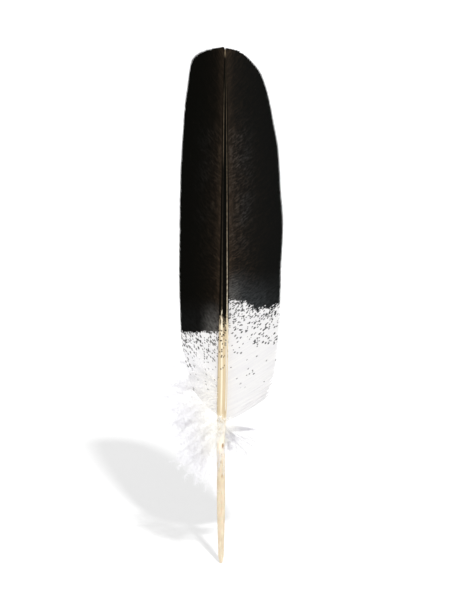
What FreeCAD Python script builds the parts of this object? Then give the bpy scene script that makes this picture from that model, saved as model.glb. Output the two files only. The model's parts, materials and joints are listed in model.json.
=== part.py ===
import FreeCAD, Part
import Sketcher
import math
import os

# A quill pen: one long flight feather whose hollow foot is cut to a split nib.
# It stands on its nib.  The origin is the nib's point, +Z runs up the feather,
# +X is towards the wide vane and -Y is the side with the groove in the shaft.
# Millimetres.  The scoop of the nib is cut in the +Y side.

SIZES = [
    # name, value, what it is
    ("overall_length", 305.0, "nib point to the highest barb tip"),
    ("calamus_length", 71.0, "nib point to the pit where the shaft begins"),
    ("barrel_radius", 2.4, "outside of the round barrel"),
    ("barrel_top_radius", 2.45, "outside of the barrel where it meets the shaft"),
    ("barrel_wall", 0.45, "horn wall of the barrel"),
    ("grip_low", 38.0, "lower end of the truly round stretch"),
    ("grip_high", 56.0, "upper end of the truly round stretch"),
    ("nib_length", 13.0, "nib point to the root of the slit"),
    ("nib_root_radius", 1.7, "outside of the tapered foot at the slit's root"),
    ("nib_tip_radius", 1.55, "outside of the tapered foot at its end"),
    ("nib_floor", -0.6, "depth in Y of the scoop, behind the axis"),
    ("scoop_flat", 22.0, "height where the scoop starts to curve out"),
    ("scoop_radius", 30.0, "radius of the scoop's curved upper part"),
    ("point_half_width", 0.45, "half the width of the squared writing edge"),
    ("point_shoulder", 1.05, "half width where the point is rounded"),
    ("point_shoulder_rise", 1.3, "height of that shoulder"),
    ("point_rise", 4.2, "height where the point meets the tapered foot"),
    ("slit_width", 0.1, "gap between the two tines"),
    ("tine_gap", 0.08, "gap at the root that each tine bends in"),
    ("cut_room", 4.0, "how far cutters reach past the barrel"),
    ("cap_count", 6, "dried pulp caps in the barrel"),
    ("cap_low", 42.0, "height of the lowest cap's rim"),
    ("cap_pitch", 4.2, "from cap to cap"),
    ("cap_thickness", 0.15, "wall of a cap"),
    ("cap_play", 0.02, "slack between a cap and the bore"),
    ("plug_height", 1.6, "height of the plug under the pit"),
    ("shaft_half_width", 2.85, "half the shaft's greatest width"),
    ("shaft_top", 303.0, "height of the shaft's end"),
    ("shaft_end_half_width", 0.3, "half the shaft's width at its end"),
    ("shaft_depth_ratio", 0.86, "shaft depth over shaft width"),
    ("cortex_thickness", 0.3, "horn wall of the shaft"),
    ("pith_top", 262.0, "height where the pith ends"),
    ("lean", 2.4, "how far the shaft's end stands towards +X"),
    ("bow", 10.0, "how far the shaft's end bends towards -Y"),
    ("left_vane_width", 24.4, "greatest reach of the narrow vane from the axis"),
    ("right_vane_width", 35.2, "greatest reach of the wide vane from the axis"),
    ("left_vane_base", 97.0, "height where the narrow vane's first barb leaves"),
    ("right_vane_base", 83.0, "height where the wide vane's first barb leaves"),
    ("vane_end", 302.6, "height where the last barb leaves"),
    ("vane_thickness", 0.5, "barbs with their barbules"),
    ("left_cup", 2.2, "how far the narrow vane's edge curls towards -Y"),
    ("right_cup", 4.0, "how far the wide vane's edge curls towards -Y"),
    ("web_count", 5, "webs in each vane"),
    ("barb_root_depth", 0.12, "how deep the barbs are rooted in the shaft"),
    ("seat_radius", 2.85, "the stem as the down lies round it"),
    ("seat_low", 45.0, "lower end of the stem's stretch with down"),
    ("seat_length", 75.0, "length of the stem's stretch with down"),
]

# Each tuft of down: its centre (x, y, z), its radii along them and its tilt.
TUFTS = {
    "afterfeather": ((-1.0, -6.0, 75.5), (6.0, 3.8, 9.0), 0.0),
    "left_down": ((-15.6, -0.5, 78.0), (13.8, 7.0, 28.5), 0.0),
    "right_down": ((12.1, -0.5, 70.5), (10.2, 5.0, 8.5), 20.0),
}
TUFT_CELLS = [
    "centre_x",
    "centre_y",
    "centre_z",
    "radius_x",
    "radius_y",
    "radius_z",
    "tilt",
]
for tuft_name, (centre, radii, tilt) in TUFTS.items():
    for cell, value in zip(TUFT_CELLS, (*centre, *radii, tilt)):
        meaning = "room that a tuft of down takes up"
        SIZES.append(("%s_%s" % (tuft_name, cell), value, meaning))

doc = FreeCAD.newDocument("QuillPen")
sheet = doc.addObject("Spreadsheet::Sheet", "sizes")
for row, (name, value, meaning) in enumerate(SIZES, start=1):
    sheet.set("A%d" % row, name)
    sheet.set("B%d" % row, str(value))
    sheet.set("C%d" % row, meaning)
    sheet.setAlias("B%d" % row, name)
doc.recompute()


def size(name):
    """A driving dimension, read back from the spreadsheet."""
    return float(sheet.get(name))


# ---------------------------------------------------------------- sketches


def number(holder, expression):
    """What an expression on the spreadsheet comes to, as a plain number."""
    result = holder.evalExpression(expression)
    return float(getattr(result, "Value", result))


def new_sketch(body, name, role):
    """An empty sketch on one of the body's own base planes."""
    plane = next(f for f in body.Origin.OriginFeatures if f.Role == role)
    sketch = body.newObject("Sketcher::SketchObject", name)
    sketch.AttachmentSupport = (plane, [""])
    sketch.MapMode = "FlatFace"
    return sketch


def fix_distance(sketch, kind, line, tag, expression):
    """Ties one coordinate of a line's first end to the spreadsheet."""
    distance = number(sketch, expression)
    rule = Sketcher.Constraint(kind, -1, 1, line, 1, distance)
    sketch.renameConstraint(sketch.addConstraint(rule), tag)
    sketch.setExpression("Constraints." + tag, expression)


def add_outline(sketch, prefix, corners):
    """A closed chain of lines whose corners (across, up) are expressions."""
    points = [
        FreeCAD.Vector(number(sketch, across), number(sketch, up), 0)
        for across, up in corners
    ]
    first = sketch.GeometryCount
    for here, there in zip(points, points[1:] + points[:1]):
        sketch.addGeometry(Part.LineSegment(here, there), False)
    for k, (across, up) in enumerate(corners):
        before = first + (k - 1) % len(corners)
        sketch.addConstraint(Sketcher.Constraint("Coincident", before, 2, first + k, 1))
        fix_distance(sketch, "DistanceX", first + k, "%s%d_across" % (prefix, k), across)
        fix_distance(sketch, "DistanceY", first + k, "%s%d_up" % (prefix, k), up)


def cut_through(body, name, sketch):
    """A pocket right through the body, both ways from its sketch."""
    before = body.Tip.Shape.Volume
    pocket = body.newObject("PartDesign::Pocket", name)
    pocket.Profile = sketch
    pocket.SideType = "Symmetric"
    pocket.Type = "ThroughAll"
    doc.recompute()
    if not pocket.Shape.Volume < before:
        raise ValueError(name + " cuts nothing")


# ------------------------------------------------- the horn foot, in one blank


def calamus_blank():
    """The hollow foot of the feather with scoop and point cut, not yet slit."""
    body = doc.addObject("PartDesign::Body", "calamus_blank")
    wall = " - sizes.barrel_wall"
    outside = [
        ("sizes.nib_tip_radius", "0"),
        ("sizes.nib_root_radius", "sizes.nib_length"),
        ("sizes.barrel_radius", "sizes.grip_low"),
        ("sizes.barrel_radius", "sizes.grip_high"),
        ("sizes.barrel_top_radius", "sizes.calamus_length"),
    ]
    inside = [(radius + wall, height) for radius, height in reversed(outside)]
    profile = new_sketch(body, "wall_profile", "XZ_Plane")
    add_outline(profile, "wall", outside + inside)
    doc.recompute()
    tube = body.newObject("PartDesign::Revolution", "tube")
    tube.Profile = profile
    tube.ReferenceAxis = (profile, ["V_Axis"])
    tube.Angle = 360
    doc.recompute()

    far = "sizes.barrel_radius + sizes.cut_room"
    below = "-sizes.cut_room"
    flat = new_sketch(body, "scoop_flat_outline", "YZ_Plane")
    floor = "sizes.nib_floor"
    corners = [(floor, below), (far, below), (far, "sizes.scoop_flat"), (floor, "sizes.scoop_flat")]
    add_outline(flat, "flat", corners)
    cut_through(body, "scoop_flat", flat)

    curve = new_sketch(body, "scoop_curve_outline", "YZ_Plane")
    centre_y = size("nib_floor") + size("scoop_radius")
    centre = FreeCAD.Vector(centre_y, size("scoop_flat"), 0)
    up = FreeCAD.Vector(0, 0, 1)
    curve.addGeometry(Part.Circle(centre, up, size("scoop_radius")), False)
    radius = curve.addConstraint(Sketcher.Constraint("Radius", 0, size("scoop_radius")))
    curve.renameConstraint(radius, "scoop_radius")
    curve.setExpression("Constraints.scoop_radius", "sizes.scoop_radius")
    for kind, tag, expression in (
        ("DistanceX", "centre_across", "sizes.nib_floor + sizes.scoop_radius"),
        ("DistanceY", "centre_up", "sizes.scoop_flat"),
    ):
        rule = Sketcher.Constraint(kind, -1, 1, 0, 3, number(curve, expression))
        curve.renameConstraint(curve.addConstraint(rule), tag)
        curve.setExpression("Constraints." + tag, expression)
    cut_through(body, "scoop_curve", curve)

    point = new_sketch(body, "point_outline", "XZ_Plane")
    for side, sign in (("left", "-1 * "), ("right", "")):
        corners = [
            (sign + "(sizes.barrel_radius + sizes.cut_room)", below),
            (sign + "sizes.point_half_width", below),
            (sign + "sizes.point_half_width", "0"),
            (sign + "sizes.point_shoulder", "sizes.point_shoulder_rise"),
            (sign + "sizes.nib_root_radius", "sizes.point_rise"),
            (sign + "(sizes.barrel_radius + sizes.cut_room)", "sizes.point_rise"),
        ]
        add_outline(point, side, corners)
    cut_through(body, "point", point)
    return body


def region(name, low, high):
    """A box whose lowest and highest corners are spreadsheet expressions."""
    box = doc.addObject("Part::Box", name)
    for axis, length, start, end in zip("xyz", ("Length", "Width", "Height"), low, high):
        box.setExpression("Placement.Base." + axis, start)
        box.setExpression(length, "(%s) - (%s)" % (end, start))
    return box


def share(name, blank, box):
    """The part of the blank inside the box, as a sub-part of its own."""
    common = doc.addObject("Part::Common", name)
    common.Base = blank
    common.Tool = box
    return common


def horn_pieces():
    """The barrel and the two tines that the slit divides."""
    blank = calamus_blank()
    out = "sizes.barrel_radius + sizes.cut_room"
    minus = "-1 * (%s)" % out
    root = "sizes.nib_length"
    tine_top = "sizes.nib_length - sizes.tine_gap"
    slit = "sizes.slit_width / 2"
    whole = region("barrel_region", (minus, minus, root), (out, out, "sizes.calamus_length"))
    left = region("left_region", (minus, minus, minus), ("-1 * " + slit, out, tine_top))
    right = region("right_region", (slit, minus, minus), (out, out, tine_top))
    return [
        share("barrel", blank, whole),
        share("nib_tine_left", blank, left),
        share("nib_tine_right", blank, right),
    ]


# ------------------------------------------------------------ inside the barrel


def pulp_caps():
    """Thin domes of dried pulp, one above the other across the bore."""
    rim = "(sizes.barrel_radius - sizes.barrel_wall - sizes.cap_play)"
    caps = []
    for k in range(int(size("cap_count"))):
        height = "sizes.cap_low + %d * sizes.cap_pitch" % k
        domes = []
        for skin, radius in (("outer", rim), ("inner", rim + " - sizes.cap_thickness")):
            dome = doc.addObject("Part::Sphere", "cap_%d_%s" % (k + 1, skin))
            dome.setExpression("Radius", radius)
            dome.Angle1 = 0
            dome.setExpression("Placement.Base.z", height)
            domes.append(dome)
        cap = doc.addObject("Part::Cut", "cap_%d" % (k + 1))
        cap.Base, cap.Tool = domes
        caps.append(cap)
    group = doc.addObject("Part::Compound", "pulp_caps")
    group.Links = caps
    return group


def umbilicus_plug():
    """The dark plug that closes the barrel under the shaft."""
    plug = doc.addObject("Part::Cylinder", "umbilicus_plug")
    plug.setExpression("Radius", "sizes.barrel_radius - sizes.barrel_wall - sizes.cap_play")
    plug.setExpression("Height", "sizes.plug_height")
    plug.setExpression("Placement.Base.z", "sizes.calamus_length - sizes.plug_height")
    return plug


# -------------------------------------------------------------------- the shaft


def along_shaft(height):
    """Share of the way from the pit to the shaft's end."""
    low = size("calamus_length")
    return (height - low) / (size("shaft_top") - low)


def axis_x(height):
    """The shaft leans to +X at once, then runs straight up."""
    u = min(max(along_shaft(height), 0.0), 1.0)
    return size("lean") * (1 - (1 - u) ** 3)


def axis_y(height):
    """The shaft bends towards -Y, more and more with height."""
    return -size("bow") * max(along_shaft(height), 0.0) ** 2


def half_width(height):
    """Half the shaft's width: a slight swelling, then a long taper to a hair."""
    u = min(max(along_shaft(height), 0.0), 1.0)
    swell = min(u / 0.12, 1.0)
    foot = size("barrel_top_radius") / size("shaft_half_width")
    growth = foot + (1 - foot) * swell * swell * (3 - 2 * swell)
    taper = (1 - u**2.2) ** 0.8
    return size("shaft_end_half_width") + growth * taper * (
        size("shaft_half_width") - size("shaft_end_half_width")
    )


# The shaft's cross-section as (angle on a circle, across, depth): a rounded back,
# flat sides and two ridges with a groove between them on the front.
SECTION = [
    (10, 1.00, 0.15),
    (42, 0.84, 0.72),
    (70, 0.36, 1.00),
    (110, -0.36, 1.00),
    (138, -0.84, 0.72),
    (170, -1.00, 0.15),
    (206, -0.94, -0.45),
    (236, -0.55, -0.88),
    (270, 0.00, -0.46),
    (304, 0.55, -0.88),
    (334, 0.94, -0.45),
]


def shaft_section(height, inset):
    """The closed wire round the shaft at a height, drawn in by inset."""
    u = along_shaft(height)
    grooved = min(u / 0.1, 1.0)
    half = half_width(height) - inset
    points = []
    for angle, across, depth in SECTION:
        turn = math.radians(angle)
        x = (1 - grooved) * math.cos(turn) + grooved * across
        y = (1 - grooved) * math.sin(turn) + grooved * depth * size("shaft_depth_ratio")
        place = (axis_x(height) + half * x, axis_y(height) + half * y, height)
        points.append(FreeCAD.Vector(*place))
    curve = Part.BSplineCurve()
    curve.interpolate(Points=points, PeriodicFlag=True)
    return Part.Wire([curve.toShape()])


def shaft_solid(inset, top):
    """A loft from the pit up to a height, through evenly spread sections."""
    low = size("calamus_length")
    steps = [0, 0.03, 0.07, 0.12, 0.22, 0.35, 0.48, 0.61, 0.73, 0.84, 0.93, 1]
    wires = [shaft_section(low + (top - low) * step, inset) for step in steps]
    return Part.makeLoft(wires, True, False)


def shaft_pieces():
    """The grooved horn wall, closed at its top, and the pith that fills it."""
    core = shaft_solid(size("cortex_thickness"), size("pith_top"))
    cortex = doc.addObject("Part::Feature", "shaft_cortex")
    cortex.Shape = shaft_solid(0, size("shaft_top")).cut(core)
    pith = doc.addObject("Part::Feature", "shaft_pith")
    pith.Shape = core
    return [cortex, pith]


# -------------------------------------------------------------------- the vanes

# Each vane's edge as (height, reach from the axis), in shares of the overall
# length and of the vane's greatest width, from the base to the blunt tip.
LEFT_EDGE = [
    (0.31, 0.68),
    (0.36, 0.76),
    (0.44, 0.93),
    (0.56, 0.975),
    (0.74, 0.948),
    (0.86, 0.868),
    (0.945, 0.75),
    (0.975, 0.685),
    (0.988, 0.545),
    (0.995, 0.31),
    (1.00, 0.00),
]
RIGHT_EDGE = [
    (0.31, 0.754),
    (0.36, 0.85),
    (0.44, 0.928),
    (0.56, 0.968),
    (0.65, 1.00),
    (0.74, 0.957),
    (0.80, 0.928),
    (0.86, 0.845),
    (0.905, 0.768),
    (0.95, 0.643),
    (0.975, 0.47),
    (0.992, 0.30),
    (1.00, 0.00),
]


def smooth_through(points, x):
    """A curve through the points that never overshoots between them."""
    xs = [p[0] for p in points]
    ys = [p[1] for p in points]
    if x <= xs[0]:
        return ys[0]
    if x >= xs[-1]:
        return ys[-1]
    slopes = [(b[1] - a[1]) / (b[0] - a[0]) for a, b in zip(points, points[1:])]
    tangents = [slopes[0]]
    for before, after in zip(slopes, slopes[1:]):
        mild = 2 * before * after / (before + after) if before * after > 0 else 0.0
        tangents.append(mild)
    tangents.append(slopes[-1])
    k = next(i for i in range(len(xs) - 1) if x < xs[i + 1])
    span = xs[k + 1] - xs[k]
    t = (x - xs[k]) / span
    start = (1 + 2 * t) * (1 - t) ** 2 * ys[k] + t * (1 - t) ** 2 * span * tangents[k]
    end = t * t * (3 - 2 * t) * ys[k + 1] + t * t * (t - 1) * span * tangents[k + 1]
    return start + end


class Vane:
    """One side's barbs: where each leaves the shaft and how far it reaches."""

    def __init__(self, side, edge, width, base, cup, angles):
        self.side = side
        self.edge = edge
        self.width = width
        self.base = base
        self.cup = cup
        self.angles = angles

    def reach_at(self, height):
        """How far the vane's edge stands from the axis at a height."""
        return self.width * smooth_through(self.edge, height / size("overall_length"))

    def barb_end(self, root):
        """How far out and up the barb that leaves at this height ends, from its root."""
        share_up = (root - self.base) / (size("vane_end") - self.base)
        climb = 1 / math.tan(math.radians(smooth_through(self.angles, share_up)))
        top = size("overall_length")
        low, high = 0.0, self.width * 1.5
        for _ in range(40):
            span = (low + high) / 2
            tip = root + span * climb
            reach = span + self.side * axis_x(root)
            if tip < top and self.reach_at(tip) > reach:
                low = span
            else:
                high = span
        return low, low * climb

    def point(self, root, t):
        """The point a share t along the barb that leaves at this height."""
        span, rise = self.barb_end(root)
        start = half_width(root) - size("barb_root_depth")
        offset = start + t * max(span - start, 0.3)
        height = root + rise * t * (0.75 + 0.25 * t)
        depth = 0.2 * half_width(root) - self.cup * (offset / self.width) ** 2
        x = axis_x(root) + self.side * offset
        return FreeCAD.Vector(x, axis_y(height) + depth, height)

    def web(self, low, high):
        """The closed plate of barbs that leave the shaft between two heights."""
        rows, columns = 9, 6
        half = FreeCAD.Vector(0, size("vane_thickness") / 2, 0)
        grid = []
        for i in range(rows):
            root = low + (high - low) * i / (rows - 1)
            grid.append([self.point(root, j / (columns - 1)) - half for j in range(columns)])
        sheet_surface = Part.BSplineSurface()
        sheet_surface.interpolate(grid)
        return sheet_surface.toShape().extrude(half * 2)


def vane_webs(name, vane):
    """The webs that a vane's barbs are zipped into, each a sub-part."""
    count = int(size("web_count"))
    webs = []
    for k in range(count):
        span = size("vane_end") - vane.base
        low = vane.base + span * k / count
        high = vane.base + span * (k + 1) / count
        web = doc.addObject("Part::Feature", "%s_vane_web_%d" % (name, k + 1))
        web.Shape = vane.web(low, high)
        webs.append(web)
    return webs


# --------------------------------------------------------------------- the down


def tuft_room(name):
    """A tilted ellipsoid that holds the room of a tuft of down."""
    cell = "sizes.%s_" % name
    room = doc.addObject("Part::Ellipsoid", name + "_room")
    room.setExpression("Radius1", cell + "radius_z")
    room.setExpression("Radius2", cell + "radius_x")
    room.setExpression("Radius3", cell + "radius_y")
    for axis in "xyz":
        room.setExpression("Placement.Base." + axis, cell + "centre_" + axis)
    room.Placement.Rotation = FreeCAD.Rotation(FreeCAD.Vector(0, 1, 0), size(name + "_tilt"))
    return room


def tufts():
    """The tufts of down, each cut to lie against the stem and its neighbours."""
    stem = doc.addObject("Part::Cylinder", "stem_room")
    stem.setExpression("Radius", "sizes.seat_radius")
    stem.setExpression("Height", "sizes.seat_length")
    stem.setExpression("Placement.Base.z", "sizes.seat_low")
    made = []
    for name in TUFTS:
        tuft = tuft_room(name)
        for neighbour in [stem] + made:
            rest = doc.addObject("Part::Cut", "%s_past_%s" % (name, neighbour.Label))
            rest.Base = tuft
            rest.Tool = neighbour
            tuft = rest
        tuft.Label = name
        made.append(tuft)
    return made


# ---------------------------------------------------------------- the whole pen


def write_parts(pieces):
    """Checks every object of the document, then writes one file for each piece."""
    doc.recompute()
    for item in doc.Objects:
        if "Invalid" in item.State or "Error" in item.State:
            raise ValueError(item.Name + " failed: " + ", ".join(item.State))
    for piece in pieces:
        if piece.Shape.isNull() or not piece.Shape.isValid():
            raise ValueError(piece.Label + " has no sound shape")
    os.makedirs("parts", exist_ok=True)
    for piece in pieces:
        piece.Shape.exportStep("parts/%s.step" % piece.Label)
        box = piece.Shape.BoundBox
        corners = (box.XMin, box.XMax, box.YMin, box.YMax, box.ZMin, box.ZMax)
        extent = " ".join("%8.2f" % corner for corner in corners)
        solids = len(piece.Shape.Solids)
        print("%-18s %2d solid %9.2f mm3 %s" % (piece.Label, solids, piece.Shape.Volume, extent))


left_vane = Vane(
    side=-1,
    edge=LEFT_EDGE,
    width=size("left_vane_width"),
    base=size("left_vane_base"),
    cup=size("left_cup"),
    angles=[(0.0, 46.0), (0.5, 37.0), (0.95, 27.0), (1.0, 14.0)],
)
right_vane = Vane(
    side=1,
    edge=RIGHT_EDGE,
    width=size("right_vane_width"),
    base=size("right_vane_base"),
    cup=size("right_cup"),
    angles=[(0.0, 61.0), (0.5, 47.0), (0.95, 35.0), (1.0, 16.0)],
)

horn = horn_pieces()
inner = [pulp_caps(), umbilicus_plug()]
shaft = shaft_pieces()
webs = vane_webs("left", left_vane) + vane_webs("right", right_vane)
doc.recompute()
down = tufts()
write_parts(horn + inner + shaft + webs + down)
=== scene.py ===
import json
import math

import bmesh
import bpy
import numpy as np
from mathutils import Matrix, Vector


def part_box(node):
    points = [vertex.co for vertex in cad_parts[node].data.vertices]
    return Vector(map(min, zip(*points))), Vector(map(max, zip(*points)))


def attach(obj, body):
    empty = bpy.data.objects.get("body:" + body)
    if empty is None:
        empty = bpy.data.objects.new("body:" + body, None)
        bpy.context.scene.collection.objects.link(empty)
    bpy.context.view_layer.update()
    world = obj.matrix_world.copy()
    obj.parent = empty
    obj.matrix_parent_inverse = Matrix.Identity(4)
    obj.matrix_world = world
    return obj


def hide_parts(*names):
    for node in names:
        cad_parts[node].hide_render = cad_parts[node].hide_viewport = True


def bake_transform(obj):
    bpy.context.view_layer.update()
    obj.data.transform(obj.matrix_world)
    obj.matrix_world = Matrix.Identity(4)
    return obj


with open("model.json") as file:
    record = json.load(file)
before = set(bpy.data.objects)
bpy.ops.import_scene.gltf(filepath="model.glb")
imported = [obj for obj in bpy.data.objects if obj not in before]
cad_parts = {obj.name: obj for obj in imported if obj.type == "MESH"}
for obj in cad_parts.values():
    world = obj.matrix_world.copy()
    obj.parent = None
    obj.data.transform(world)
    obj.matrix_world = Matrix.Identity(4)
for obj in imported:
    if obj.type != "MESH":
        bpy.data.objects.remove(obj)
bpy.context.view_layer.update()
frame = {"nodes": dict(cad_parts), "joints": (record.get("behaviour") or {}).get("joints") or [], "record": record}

# A feather quill pen.  The origin is the nib's point, +Z runs up the feather, +X is
# towards the wide vane and -Y is the grooved side of the shaft.  All in metres.
MM = 0.001
dice = np.random.default_rng(11)

# --------------------------------------------- places and sizes

MOUNTS = {m["name"]: m for m in frame["record"]["mounts"]}
GRIP = MOUNTS["barrel_grip"]
GRIP_RADIUS = GRIP["dims"]["r_mm"] * MM
GRIP_LOW = GRIP["pos_m"][2] - GRIP["dims"]["length_mm"] * MM / 2
GRIP_HIGH = GRIP["pos_m"][2] + GRIP["dims"]["length_mm"] * MM / 2
SLIT_ROOT = frame["joints"][0]["pos_m"][2]
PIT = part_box("barrel")[1].z
PIT_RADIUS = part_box("barrel")[1].x
NIB_SCOOP_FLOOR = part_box("nib_tine_left")[1].y
SHAFT_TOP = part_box("shaft_cortex")[1].z
LENGTH = 305 * MM
LEAN = 2.4 * MM
BOW = 10 * MM
SHAFT_HALF_WIDTH = 2.85 * MM
SHAFT_END_HALF_WIDTH = 0.3 * MM
SHAFT_DEPTH_RATIO = 0.86
LEFT_WIDTH = 24.4 * MM
RIGHT_WIDTH = 35.2 * MM


def smoothstep(low, high, x):
    t = np.clip((np.asarray(x, float) - low) / (high - low), 0, 1)
    return t * t * (3 - 2 * t)


def along_shaft(z):
    """Share of the way from the pit to the shaft's end."""
    return np.clip((np.asarray(z, float) - PIT) / (SHAFT_TOP - PIT), 0, None)


def axis_x(z):
    """The shaft leans to +X at once, then runs straight up."""
    u = np.clip(along_shaft(z), 0, 1)
    return LEAN * (1 - (1 - u) ** 3)


def axis_y(z):
    """The shaft bends towards -Y, more and more with height."""
    return -BOW * along_shaft(z) ** 2


def half_width(z):
    """Half the shaft's width: a slight swelling, then a long taper to a hair."""
    u = np.clip(along_shaft(z), 0, 1)
    foot = PIT_RADIUS / SHAFT_HALF_WIDTH
    growth = foot + (1 - foot) * smoothstep(0, 0.12, u)
    taper = (1 - u**2.2) ** 0.8
    return SHAFT_END_HALF_WIDTH + growth * taper * (SHAFT_HALF_WIDTH - SHAFT_END_HALF_WIDTH)


# ------------------------------------------------- mesh helpers


def new_piece(name, vertices, faces, material, body=None, attributes=None, sharp=40):
    """A smooth mesh object from arrays; attributes are vectors stored on its points."""
    mesh = bpy.data.meshes.new(name)
    mesh.from_pydata(np.asarray(vertices, float).tolist(), [], faces)
    mesh.validate()
    for key, values in (attributes or {}).items():
        layer = mesh.attributes.new(key, "FLOAT_VECTOR", "POINT")
        layer.data.foreach_set("vector", np.asarray(values, np.float32).ravel())
    mesh.polygons.foreach_set("use_smooth", [True] * len(mesh.polygons))
    mesh.set_sharp_from_angle(angle=math.radians(sharp))
    mesh.materials.append(material)
    piece = bpy.data.objects.new(name, mesh)
    bpy.context.scene.collection.objects.link(piece)
    if body:
        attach(piece, body)
    return piece


def tube_faces(rows, ring, pointed=False):
    """Faces of a closed tube of rows rings, over whose far end is a polygon or a point."""
    full_rows = rows - 1 if pointed else rows
    faces = []
    for i in range(full_rows - 1):
        low = i * ring
        high = low + ring
        for j in range(ring):
            k = (j + 1) % ring
            faces.append((low + j, low + k, high + k, high + j))
    faces.append(tuple(reversed(range(ring))))
    last = (full_rows - 1) * ring
    if pointed:
        faces += [(last + j, last + (j + 1) % ring, last + ring) for j in range(ring)]
    else:
        faces.append(tuple(last + j for j in range(ring)))
    return faces


def many_tubes(points, pointed=False):
    """Vertices and faces of closed tubes from an array (tubes, rows, ring, 3)."""
    tubes, rows, ring, _ = points.shape
    pattern = tube_faces(rows, ring, pointed)
    vertices = points.reshape(tubes, -1, 3)
    if pointed:
        vertices = vertices[:, : (rows - 1) * ring + 1]
    step = vertices.shape[1]
    faces = [tuple(k * step + v for v in face) for k in range(tubes) for face in pattern]
    return vertices.reshape(-1, 3), faces


# --------------------------------------------- material helpers


class Recipe:
    """Builds one procedural material, a node at a time."""

    def __init__(self, name):
        self.material = bpy.data.materials.new(name)
        self.material.use_nodes = True
        self.tree = self.material.node_tree
        self.shader = self.tree.nodes["Principled BSDF"]

    def node(self, kind, **settings):
        made = self.tree.nodes.new(kind)
        for key, value in settings.items():
            setattr(made, key, value)
        return made

    def put(self, socket, value):
        """Links a socket to another, or sets its number."""
        if isinstance(value, bpy.types.NodeSocket):
            self.tree.links.new(value, socket)
        else:
            socket.default_value = value

    def math(self, operation, a, b=0.0, c=0.0):
        made = self.node("ShaderNodeMath", operation=operation)
        for socket, value in zip(made.inputs, (a, b, c)):
            self.put(socket, value)
        return made.outputs[0]

    def plus(self, a, b):
        return self.math("ADD", a, b)

    def minus(self, a, b):
        return self.math("SUBTRACT", a, b)

    def times(self, a, b):
        return self.math("MULTIPLY", a, b)

    def over(self, a, b):
        return self.math("DIVIDE", a, b)

    def power(self, a, b):
        return self.math("POWER", a, b)

    def larger(self, a, b):
        return self.math("MAXIMUM", a, b)

    def scaled(self, value, factor, offset):
        """value * factor + offset"""
        return self.math("MULTIPLY_ADD", value, factor, offset)

    def ramp(self, value, low, high, to_low=0.0, to_high=1.0):
        """A smooth step of value from low to high."""
        made = self.node("ShaderNodeMapRange", interpolation_type="SMOOTHSTEP")
        for key, number in zip(range(5), (value, low, high, to_low, to_high)):
            self.put(made.inputs[key], number)
        return made.outputs[0]

    def mix(self, share, a, b):
        """Colour a where share is 0 and b where it is 1."""
        # The node's colour sockets are inputs 6 and 7 and output 2.
        made = self.node("ShaderNodeMix", data_type="RGBA")
        self.put(made.inputs["Factor"], share)
        for key, colour in ((6, a), (7, b)):
            value = colour if isinstance(colour, bpy.types.NodeSocket) else (*colour, 1)
            self.put(made.inputs[key], value)
        return made.outputs[2]

    def parts(self, vector):
        made = self.node("ShaderNodeSeparateXYZ")
        self.put(made.inputs[0], vector)
        return made.outputs

    def joined(self, x, y, z=0.0):
        made = self.node("ShaderNodeCombineXYZ")
        for socket, value in zip(made.inputs, (x, y, z)):
            self.put(socket, value)
        return made.outputs[0]

    def place_mm(self):
        """The point's place in the shared frame, in millimetres."""
        coordinates = self.node("ShaderNodeTexCoord")
        made = self.node("ShaderNodeVectorMath", operation="SCALE")
        self.put(made.inputs[0], coordinates.outputs["Object"])
        made.inputs["Scale"].default_value = 1 / MM
        return made.outputs[0]

    def attribute(self, name):
        return self.node("ShaderNodeAttribute", attribute_name=name).outputs["Vector"]

    def noise(self, vector, scale=1.0, detail=2.0, roughness=0.5):
        made = self.node("ShaderNodeTexNoise")
        self.put(made.inputs["Vector"], vector)
        for key, value in (("Scale", scale), ("Detail", detail), ("Roughness", roughness)):
            made.inputs[key].default_value = value
        return made.outputs["Fac"]

    def cells(self, vector, scale=1.0):
        made = self.node("ShaderNodeTexVoronoi", voronoi_dimensions="2D")
        self.put(made.inputs["Vector"], vector)
        made.inputs["Scale"].default_value = scale
        return made.outputs["Distance"], self.parts(made.outputs["Color"])

    def bump(self, height, strength, distance):
        made = self.node("ShaderNodeBump")
        made.inputs["Strength"].default_value = strength
        made.inputs["Distance"].default_value = distance
        self.put(made.inputs["Height"], height)
        self.put(self.shader.inputs["Normal"], made.outputs["Normal"])

    def set(self, **sockets):
        for key, value in sockets.items():
            name = key.replace("_", " ")
            if name == "Specular":
                name = "Specular IOR Level"
            self.put(self.shader.inputs[name], value)
        return self.material


# ---------------------------------------------------- materials

PAINT = (0.0017, 0.0017, 0.0012)
COLD_PAINT = (0.038, 0.042, 0.045)
BROWN_AND_SHEEN_PAINT = (0.046, 0.031, 0.020)
WORN_AND_SHEEN_PAINT = (0.048, 0.040, 0.033)
GREY_PAINT = (0.100, 0.096, 0.090)
BARE_BARB = (0.715, 0.707, 0.697)
SHADED_BARB = (0.650, 0.642, 0.655)
PAINTED_LIGHT_BARB = (0.81, 0.805, 0.815)
HORN = (0.625, 0.520, 0.350)
HORN_DARK = (0.515, 0.405, 0.255)
PALE_HORN = (0.665, 0.565, 0.415)
CREAM_AND_HIGHLIGHT = (0.86, 0.79, 0.63)
GOLD = (0.56, 0.43, 0.28)
PALE_FLANK = (0.93, 0.86, 0.73)
LIT_INNER_DOWN = (0.975, 0.958, 0.913)
SHADED_OUTER_DOWN = (0.842, 0.834, 0.86)
SHADED_GREY_DOWN = (0.64, 0.63, 0.65)
MARK_BROWN = (0.36, 0.19, 0.07)

# The constants of the materials are in millimetres.  A pair is a stretch over which a
# look comes or goes.
LEFT_PAINT_EDGE = 136.0
RIGHT_PAINT_EDGE = 153.7
# The wide vane's paint edge sinks a little in its middle and rises at its outer edge.
EDGE_DIP = (11.5, 19.5)
EDGE_DIP_DEPTH = 3.9
EDGE_LIFT = (26.0, 33.5)
EDGE_LIFT_HEIGHT = 3.2
EDGE_GRAIN = 0.6
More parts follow.
